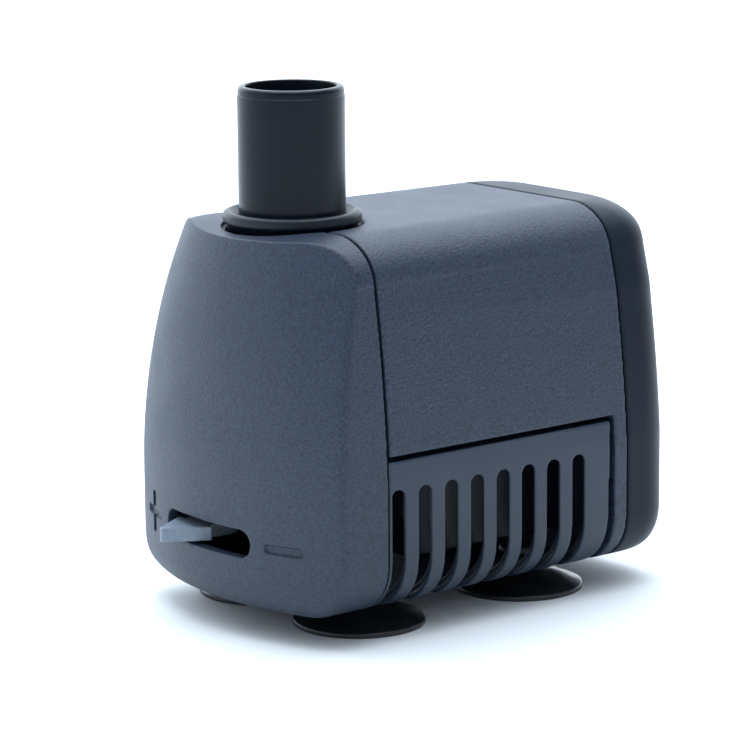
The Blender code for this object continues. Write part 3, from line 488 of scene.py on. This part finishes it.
def body_form(name, inset=0.0):
    """The body's whole form as a fine loft of plan outlines."""
    shoulder = [SHOULDER_Z + (BODY_TOP - SHOULDER_Z) * math.sin(math.pi / 2 * i / 18) for i in range(19)]
    foot = [BODY_BOTTOM + SIDE_FOOT_RADIUS * (1 - math.cos(math.pi / 2 * i / 14)) for i in range(15)]
    walls = [foot[-1] + (SHOULDER_Z - foot[-1]) * i / 36 for i in range(1, 36)]
    heights = [*foot, *walls, *shoulder]
    shrink = (BODY_TOP - BODY_BOTTOM - 2 * inset) / (BODY_TOP - BODY_BOTTOM)
    bm = bmesh.new()
    rings = []
    for height in heights:
        z = BODY_BOTTOM + inset + (height - BODY_BOTTOM) * shrink
        rings.append([bm.verts.new((x, y, z - top_drop(y, height))) for x, y in plan_outline(z, inset)])
    for lower, upper in zip(rings, rings[1:]):
        for i in range(len(lower)):
            j = (i + 1) % len(lower)
            bm.faces.new((lower[i], lower[j], upper[j], upper[i]))
    bm.faces.new(list(reversed(rings[0])))
    top = rings[-1]
    bm.faces.new((top[0], top[1], top[-1]))
    for i in range(1, len(top) // 2):
        bm.faces.new((top[i], top[i + 1], top[-i - 1], top[-i]))
    bmesh.ops.triangulate(bm, faces=bm.faces)
    return keep(name, bm)


# ---------------------------------------------------------------- shells


def outlet_opening(name):
    return (post(name + "_neck", NECK_RADIUS + GAP, 45, 70),
            post(name + "_recess", RECESS_RADIUS, BODY_TOP - RECESS_DEPTH, 70))


def sunk_sign(name, loop):
    return cut(prism(name, loop, -45, -20), body_form(name + "_depth", inset=MARK_DEPTH))


def minus_outline():
    reach, half = MARK_LENGTH / 2, MARK_WIDTH / 2
    return rounded(MARK_X - reach, SLOT_Z - half, MARK_X + reach, SLOT_Z + half, 0.6, points=5)


def plus_outline():
    reach, half = MARK_LENGTH / 2, MARK_WIDTH / 2
    quarter = [(reach, -half), (reach, half), (half, half)]
    turned_quarters = [[(u, v), (-v, u), (-u, -v), (v, -u)] for u, v in quarter]
    return [(corner[i][0] - MARK_X, corner[i][1] + SLOT_Z) for i in range(4) for corner in turned_quarters]


def front_cover():
    cover = keep_only(body_form("front_cover_shell"), slab("cover_span", -50, FRONT_SEAM_Y))
    low, high = SLOT_Z - SLOT_HEIGHT / 2, SLOT_Z + SLOT_HEIGHT / 2
    stadium = rounded(-SLOT_HALF, low, SLOT_HALF, high, SLOT_HEIGHT / 2 - 0.01)
    opening = prism("regulator_slot", stadium, -45, -29)
    cut(cover, body_form("cover_hollow", inset=WALL), opening, *outlet_opening("cover"))
    cut(cover, sunk_sign("minus_sign", minus_outline()), sunk_sign("plus_sign", plus_outline()))
    show(lighten(soften(cover, 0.16, passes=2), 0.25), "shell_grain", "front_cover", "front_cover")


def rotor_well():
    root = BULKHEAD_Y + 0.6
    floor = WELL_END - 1.4
    tube = [(0, WELL_END), (WELL_RADIUS, WELL_END), (WELL_RADIUS, root)]
    spigot = [(SPIGOT_RADIUS, root), (SPIGOT_RADIUS, -7.8), (9.9, -7.8), (9.9, -9.6), (SPIGOT_RADIUS, -9.6),
              (SPIGOT_RADIUS, SPIGOT_Y)]
    inside = [(WELL_BORE, SPIGOT_Y), (WELL_BORE, floor), (4.0, floor), (4.0, 16.8), (BUSH_BORE, 16.8),
              (BUSH_BORE, floor), (0, floor)]
    return turned("rotor_well", tube + spigot + inside, place=(0, 0, AXIS_Z), axis="Y", steps=80)


def motor_housing():
    start, end = FRONT_SEAM_Y + SEAM_GAP, REAR_SEAM_Y - GAP / 2
    housing = keep_only(body_form("motor_housing_shell"), slab("housing_span", start, end))
    cut(housing, slab("strainer_room", -50, FRAME_Y, -5, HOUSING_LOW))
    cut(housing, keep_only(body_form("skirt_hollow", inset=2.0), slab("skirt_span", -60, BULKHEAD_Y)))
    cut(housing, keep_only(body_form("motor_bay", inset=2.0),
                           slab("bay_span", BULKHEAD_Y + BULKHEAD_THICK, 60, HOUSING_LOW + 2, 70)))
    bay_half, bay_front = KEEL_HALF - WALL, BULKHEAD_Y + BULKHEAD_THICK
    bay_top = (bay_half, 40, HOUSING_LOW + 3)
    cut(housing, box("keel_bay_top", (-bay_half, bay_front, HOUSING_LOW - 1), bay_top))
    keel = box("keel", (-KEEL_HALF, BULKHEAD_Y, KEEL_LOW), (KEEL_HALF, end, HOUSING_LOW + 1))
    cut(keel, box("keel_bay", (-bay_half, bay_front, KEEL_LOW + WALL), bay_top),
        rod("keel_well", WELL_RADIUS, SPIGOT_Y, BULKHEAD_Y + 5, segments=80))
    # The keel is part of the housing moulding, shown near-black in the outlet's material: painted shade in
    # the strainer behind the slots.
    show(lighten(soften(keel, 0.26), 0.2), "outlet_black", "pump_body", "motor_housing")
    for side in (-1, 1):
        inner, outer = sorted((side * RAIL_INNER, side * RAIL_OUTER))
        web = box(f"rail_{side}", (inner, RAIL_START, RAIL_LOW), (outer, RAIL_END, HOUSING_LOW + 0.9))
        toe_low, toe_high = sorted((side * (RAIL_OUTER - 0.6), side * (RAIL_OUTER + 1.6)))
        toe = box(f"toe_{side}", (toe_low, RAIL_START + 1, RAIL_LOW + 0.1),
                  (toe_high, RAIL_END - 1, RAIL_LOW + 1.2))
        join(housing, join(web, toe))
    cut(housing, rod("well_opening", (WELL_RADIUS + WELL_BORE) / 2, SPIGOT_Y, BULKHEAD_Y + 5, segments=80))
    join(housing, rotor_well())
    cut(housing, *outlet_opening("housing"))
    show(lighten(soften(housing, 0.26), 0.25), "shell_grain", "pump_body", "motor_housing")


def rear_cap():
    cap = keep_only(body_form("rear_cap_shell"), slab("cap_span", REAR_SEAM_Y + GAP / 2, 60))
    cut(cap, keep_only(body_form("cap_hollow", inset=2.2), slab("cap_hollow_span", 0, 60)))
    join(cap, rod("gland_boss", GLAND_RADIUS + 1.8, REAR_Y - 5.0, REAR_Y - 1.0, z=GLAND_Z))
    cut(cap, rod("gland_hole", 3.5, REAR_Y - 8, REAR_Y + 2, z=GLAND_Z))
    cut(cap, rod("gland_recess", GLAND_RADIUS + 0.4, REAR_Y - 1.5, REAR_Y + 2, z=GLAND_Z))
    # the cap's darker colour is painted shade
    show(lighten(soften(cap, 0.26), 0.25), "cap_smooth", "pump_body", "rear_cap")


def slot_tool(i, side, half):
    """A cutter for one slot: straight sides, a round top, and open at the bottom."""
    y, arch = FIRST_SLOT_Y + i * SLOT_PITCH, SLOT_TOP - SLOT_WIDTH / 2
    low = max(y - half, FRONT_SEAM_Y + GAP + 0.5)
    loop = [(low, 0), (y + half, 0), *[(max(low, v), w) for v, w in arc((y, arch), half, 0, 180, 16)]]
    bm = bmesh.new()
    ends = sorted((side * SLOT_INNER_X, side * 30.0))
    rings = [[bm.verts.new((x, v, w)) for v, w in loop] for x in ends]
    for j in range(len(loop)):
        k = (j + 1) % len(loop)
        bm.faces.new((rings[0][j], rings[0][k], rings[1][k], rings[1][j]))
    bm.faces.new(rings[0])
    bm.faces.new(rings[1])
    return keep(f"slot_{side}_{i}_{half}", bm)


def intake_grille():
    span = slab("strainer_span", FRONT_SEAM_Y + GAP, STRAINER_REAR, 0, STRAINER_TOP)
    grille = keep_only(body_form("intake_grille_shell"), span)
    cut(grille, keep_only(body_form("strainer_hollow", inset=STRAINER_WALL),
                          slab("strainer_hollow_span", -60, STRAINER_REAR - WALL, 0, 40)))
    reliefs = [slot_tool(i, side, SLOT_WIDTH / 2 + SLOT_RELIEF) for i in range(SLOTS) for side in (-1, 1)]
    relief = join(box("relief_base", (-SLOT_INNER_X, -15, 5.5), (SLOT_INNER_X, 20, 7.0)), *reliefs)
    cut(grille, keep_only(relief, body_form("relief_depth", inset=SLOT_LIP)))
    for i in range(SLOTS):
        cut(grille, slot_tool(i, -1, SLOT_WIDTH / 2), slot_tool(i, 1, SLOT_WIDTH / 2))
    for side in (-1, 1):
        low, high = sorted((side * (RAIL_OUTER + 0.3), side * 24.2))
        corner = (low, RAIL_START + 2, RAIL_LOW + 1.5)
        join(grille, box(f"hook_{side}", corner, (high, RAIL_END - 2, RAIL_LOW + 2.8)))
    margin = 0.4
    cut(grille, box("keel_notch", (-KEEL_HALF - margin, STRAINER_REAR - 5, KEEL_LOW - margin),
                    (KEEL_HALF + margin, STRAINER_REAR + 5, 40)))
    for cup_x in (-CUP_X, CUP_X):
        for cup_y in (CUP_FRONT_Y, CUP_REAR_Y):
            cut(grille, post(f"cup_hole_{cup_x}_{cup_y}", 2.6, 0, 12, x=cup_x, y=cup_y, segments=48))
    lean = box("strainer_lean", (-40, STRAINER_REAR, -10), (40, 60, 40))
    slope = math.atan2(STRAINER_REAR - STRAINER_REAR_LOW, STRAINER_TOP - BODY_BOTTOM)
    pin = Matrix.Translation((0, STRAINER_REAR * MM, STRAINER_TOP * MM))
    lean.data.transform(pin @ Matrix.Rotation(-slope, 4, "X") @ pin.inverted())
    cut(grille, lean)
    show(lighten(soften(grille, 0.2, passes=3), 0.3), "shell_smooth", "pump_body", "intake_grille")


# ---------------------------------------------------------------- outlet, chamber and regulator


def outlet_bore():
    seat, end = TUBE_FOOT - GAP, AXIS_Z + 5
    profile = [(0, COLLAR_HIGH + 1), (10.4, COLLAR_HIGH + 1), (NECK_BORE, COLLAR_HIGH - 1.05),
               (NECK_BORE, seat), (TUBE_THROAT, seat), (TUBE_THROAT, end), (0, end)]
    return turned("outlet_bore", profile, steps=96)


def rail(name, web_low, web_high, lip_low, lip_high):
    front = CHAMBER_FRONT - 2.6
    web = box(name, (-12.5, front, web_low), (12.5, CHAMBER_FRONT + 0.8, web_high))
    return join(web, box(name + "_lip", (-12.4, front, lip_low), (12.4, front + 0.7, lip_high)))


def pump_chamber():
    chamber = rod("pump_chamber_drum", CHAMBER_RADIUS, CHAMBER_FRONT, CHAMBER_BACK)
    join(chamber, post("neck_lower", NECK_RADIUS, AXIS_Z + 8, COLLAR_LOW - 1.0))
    cut(chamber, rod("chamber_bore", CHAMBER_BORE, CHAMBER_FRONT + 1.6, 0), outlet_bore())
    cut(chamber, rod("eye", EYE_RADIUS, -30, -15))
    for i in range(3):
        spoke = box(f"spoke_{i}", (-0.9, CHAMBER_FRONT, 1), (0.9, CHAMBER_FRONT + 1.6, 7))
        turn = Matrix.Rotation(2 * math.pi / 3 * i + math.pi, 4, "Y")
        spoke.data.transform(Matrix.Translation((0, 0, AXIS_Z * MM)) @ turn)
        join(chamber, spoke)
    join(chamber, rod("bush_holder", BUSH_HOLDER_RADIUS, CHAMBER_FRONT, -19.9))
    cut(chamber, rod("front_bush_bore", BUSH_BORE, CHAMBER_FRONT + 0.7, -10))
    # A dark sheet behind the regulator slot, in the chamber's black: painted shade where the slot shows only
    # shade.
    shade_sheet_front = CHAMBER_FRONT + 0.05
    join(chamber, box("inlet_baffle", (-18.0, shade_sheet_front, 6.8), (7.0, shade_sheet_front + 1.4, 20.0)))
    join(chamber, rail("rail_low", GATE_LOW - 1.5, GATE_LOW - GAP, GATE_LOW - 1.49, GATE_LOW + 0.9))
    join(chamber, rail("rail_high", GATE_HIGH + GAP, GATE_HIGH + 1.5, GATE_HIGH - 0.9, GATE_HIGH + 1.49))
    show(lighten(soften(chamber, 0.26), 0.3), "inner_black", "pump_body", "pump_chamber")
    edge = 0.8
    outside = COLLAR_RADIUS - edge
    profile = [(NECK_BORE, COLLAR_LOW - 1.6), *arc((NECK_BORE + 0.25, COLLAR_HIGH - 1.15), 0.25, 180, 120),
               *arc((outside - 0.1, COLLAR_HIGH - 0.3), 0.3, 110, 90, 3),
               *arc((outside, COLLAR_HIGH - edge), edge, 90, 0, 8),
               *arc((COLLAR_RADIUS - 0.5, COLLAR_LOW + 0.5), 0.5, 0, -90, 5), (NECK_RADIUS, COLLAR_LOW),
               (NECK_RADIUS, COLLAR_LOW - 1.6)]
    show(turned("collar", profile, ring=True, steps=160), "inner_black", "pump_body", "pump_chamber")


def outlet_nozzle():
    step, lip = 0.1, 0.62
    profile = [(TUBE_RADIUS, 59.2), (TUBE_RADIUS, 78.58), (TUBE_RADIUS - step, 78.7),
               *arc((TUBE_RADIUS - step - lip, TUBE_TOP - lip), lip, 0, 90, 10),
               *arc((TUBE_BORE + 0.22, TUBE_TOP - 0.22), 0.22, 90, 180, 6),
               (TUBE_BORE, THROAT_Z + 0.3), *arc((TUBE_THROAT + 0.2, THROAT_Z + 0.1), 0.2, 90, 180, 4),
               (TUBE_THROAT, TUBE_FOOT), (TUBE_RADIUS - 0.4, TUBE_FOOT), (TUBE_RADIUS, TUBE_FOOT + 0.4),
               (TUBE_RADIUS, 57.3), (7.0, 57.3), (7.0, 59.2)]
    tube = crisp(turned("tube", profile, ring=True, steps=160))
    show(tube, "outlet_black", "pump_body", "outlet_nozzle")


def flow_regulator():
    window = rod("gate_window", EYE_RADIUS + 0.2, GATE_BACK - 5, GATE_BACK + 5)
    plate = rounded(-18.5, GATE_LOW, 9.0, GATE_HIGH, 0.8)
    gate = prism("regulator_gate", plate, GATE_BACK - GATE_THICK, GATE_BACK)
    cut(gate, window)
    low, high = TAB_Z - TAB_THICK / 2, TAB_Z + TAB_THICK / 2
    leg_low, leg_high = -8.2, -4.6
    root_top = (leg_high, GATE_BACK - 0.4, GATE_LOW + 3.6)
    join(gate, box("leg_root", (leg_low, -27.8, GATE_LOW + 1.2), root_top),
         box("leg", (leg_low + 0.01, -27.79, low + 0.01), (leg_high - 0.01, -26.4, GATE_LOW + 3.5)),
         box("arm", (TAB_X - 2.9, TAB_BASE_Y - 0.5, low + 0.02), (TAB_X + 2.9, -26.5, high - 0.02)))
    blunt = 0.55
    right = [(TAB_HALF, TAB_BASE_Y), (blunt, TAB_TIP_Y + 0.35), (blunt / 2, TAB_TIP_Y)]
    outline = [(TAB_X - u, y) for u, y in right] + [(TAB_X + u, y) for u, y in reversed(right)]
    join(gate, prism("tab", outline, low, high, axis="Z"))
    show(lighten(soften(gate, 0.13, passes=5), 0.35), "regulator_grey", "regulator", "flow_regulator")


# ---------------------------------------------------------------- feet and gland


def suction_cup(end, side, x, y):
    skirt = [(3.5, 3.2), (3.7, 2.95), (4.3, 2.7), (6.0, 2.25), (8.2, 1.4), (CUP_RADIUS - 0.5, 0.86),
             *arc((CUP_RADIUS - 0.3, 0.5), 0.3, 60, 0, 4), (CUP_RADIUS, 0.0)]
    top = [(0, 7.2), (1.5, 7.15), (2.3, 6.95), (2.9, 6.5), (3.1, 6.1), (3.05, 5.7), (2.3, 5.6),
           (2.25, 3.75), (3.3, 3.65)]
    hollow = [(9.0, 0.0), (8.7, 0.2), (7.0, 0.85), (4.0, 1.65), (2.0, 1.95), (0, 2.05)]
    cup = turned(f"cup_{end}_{side}", top + skirt + hollow, place=(x, y, 0), steps=112)
    show(crisp(cup, 50), "cup_rubber", "pump_body", f"suction_cup_{end}_{side}")


def cable_gland():
    face = REAR_Y - 0.2
    rim = arc((GLAND_RADIUS - 0.6, face - 0.6), 0.6, 90, 0, 6)
    neck = [(3.2, face - 1.0), (3.2, REAR_Y - 5.4), (4.0, REAR_Y - 5.4), (4.0, REAR_Y - 6.4)]
    profile = [(2.9, face - 0.5), *arc((3.2, face - 0.3), 0.3, 180, 90, 4), *rim, (GLAND_RADIUS, face - 1.0),
               *neck, (2.6, REAR_Y - 6.8)]
    gland = turned("gland", profile, place=(0, 0, GLAND_Z), axis="Y", ring=True, steps=80)
    show(crisp(gland, 40), "seal_rubber", "pump_body", "cable_gland")


# ---------------------------------------------------------------- stage, light and camera

STUDIO_TINT = (0.86, 0.97, 1.09)
STUDIO_BASE = 0.32
# Each is a direction, the cosine where its glow starts, and its gain.
STUDIO_LOBES = (((-0.76, 0.61, 0.25), 0.2, 1.9), ((-0.75, -0.65, 0.2), 0.3, 0.9),
                ((0, 0, 1), 0.5, 1.05))


def stage():
    bm = bmesh.new()
    bmesh.ops.create_grid(bm, x_segments=2, y_segments=2, size=1500)
    floor = keep("floor", bm)
    bpy.context.scene.collection.objects.link(floor)
    look = Shader("floor_pale", 0.75, 0.2)
    look.colour(look.noise(400.0, 2.0), (0.3, (0.86, 0.87, 0.88)), (0.7, (0.88, 0.885, 0.89)))
    floor.data.materials.append(look.material)


def light(name, size_mm, place, target, watts, colour):
    data = bpy.data.lights.new(name, "AREA")
    data.shape, data.energy, data.color = "RECTANGLE", watts, colour
    data.size, data.size_y = size_mm[0] * MM, size_mm[1] * MM
    lamp = bpy.data.objects.new(name, data)
    lamp.location = Vector(place) * MM
    lamp.rotation_euler = (Vector(target) - Vector(place)).to_track_quat("-Z", "Y").to_euler()
    bpy.context.scene.collection.objects.link(lamp)


def world():
    """A pale studio: bright behind and to the left, brighter overhead, dim beside the camera."""
    surroundings = bpy.data.worlds.new("studio")
    surroundings.use_nodes = True
    nodes, links = surroundings.node_tree.nodes, surroundings.node_tree.links
    direction = nodes.new("ShaderNodeTexCoord").outputs["Generated"]
    strength = None
    for towards, edge, gain in STUDIO_LOBES:
        facing = nodes.new("ShaderNodeVectorMath")
        facing.operation = "DOT_PRODUCT"
        facing.inputs[1].default_value = Vector(towards).normalized()
        links.new(direction, facing.inputs[0])
        lobe = nodes.new("ShaderNodeMapRange")
        lobe.interpolation_type = "SMOOTHSTEP"
        lobe.inputs["From Min"].default_value, lobe.inputs["From Max"].default_value = edge, 1.0
        lobe.inputs["To Min"].default_value, lobe.inputs["To Max"].default_value = 0.0, gain
        links.new(facing.outputs["Value"], lobe.inputs["Value"])
        total = nodes.new("ShaderNodeMath")
        total.inputs[1].default_value = STUDIO_BASE
        if strength:
            links.new(strength, total.inputs[1])
        links.new(lobe.outputs["Result"], total.inputs[0])
        strength = total.outputs["Value"]
    background = nodes["Background"]
    background.inputs["Color"].default_value = (*STUDIO_TINT, 1)
    links.new(strength, background.inputs["Strength"])
    bpy.context.scene.world = surroundings
    bpy.context.scene.view_settings.view_transform = "Standard"


def camera():
    data = bpy.data.cameras.new("camera")
    data.lens, data.sensor_width = 165.41, 36.0
    data.clip_start, data.clip_end = 0.01, 20.0
    azimuth, elevation, roll = math.radians(51.348), math.radians(11.767), math.radians(-0.449)
    back = Vector((math.sin(azimuth) * math.cos(elevation), -math.cos(azimuth) * math.cos(elevation),
                   math.sin(elevation)))
    right = Vector((math.cos(azimuth), math.sin(azimuth), 0))
    up = back.cross(right)
    across = right * math.cos(roll) + up * math.sin(roll)
    turn = Matrix((across, up * math.cos(roll) - right * math.sin(roll), back))
    viewer = bpy.data.objects.new("camera", data)
    viewer.matrix_world = Matrix.Translation((0.40368, -0.32450, 0.14174)) @ turn.transposed().to_4x4()
    bpy.context.scene.collection.objects.link(viewer)
    bpy.context.scene.camera = viewer


def cad_materials():
    """The inner pieces stay as CAD, each with its own finish."""
    slots = {entry["node"]: entry["material_slot"] for entry in frame["record"]["subparts"]}
    for name, node in frame["nodes"].items():
        node.data.materials.clear()
        node.data.materials.append(MATERIALS[slots[name]])


def main():
    bpy.context.scene.collection.children.link(HELPERS)
    cad_materials()
    front_cover()
    motor_housing()
    rear_cap()
    intake_grille()
    pump_chamber()
    outlet_nozzle()
    flow_regulator()
    for end, y in (("front", CUP_FRONT_Y), ("rear", CUP_REAR_Y)):
        suction_cup(end, "left", -CUP_X, y)
        suction_cup(end, "right", CUP_X, y)
    cable_gland()
    stage()
    world()
    camera()
    for helper in list(HELPERS.objects):
        if len(helper.users_collection) > 1:
            HELPERS.objects.unlink(helper)
        else:
            bpy.data.objects.remove(helper)
    bpy.data.collections.remove(HELPERS)
    light("overhead", (900, 900), (-100, 60, 900), (0, 0, 20), 7.8, STUDIO_TINT)


main()
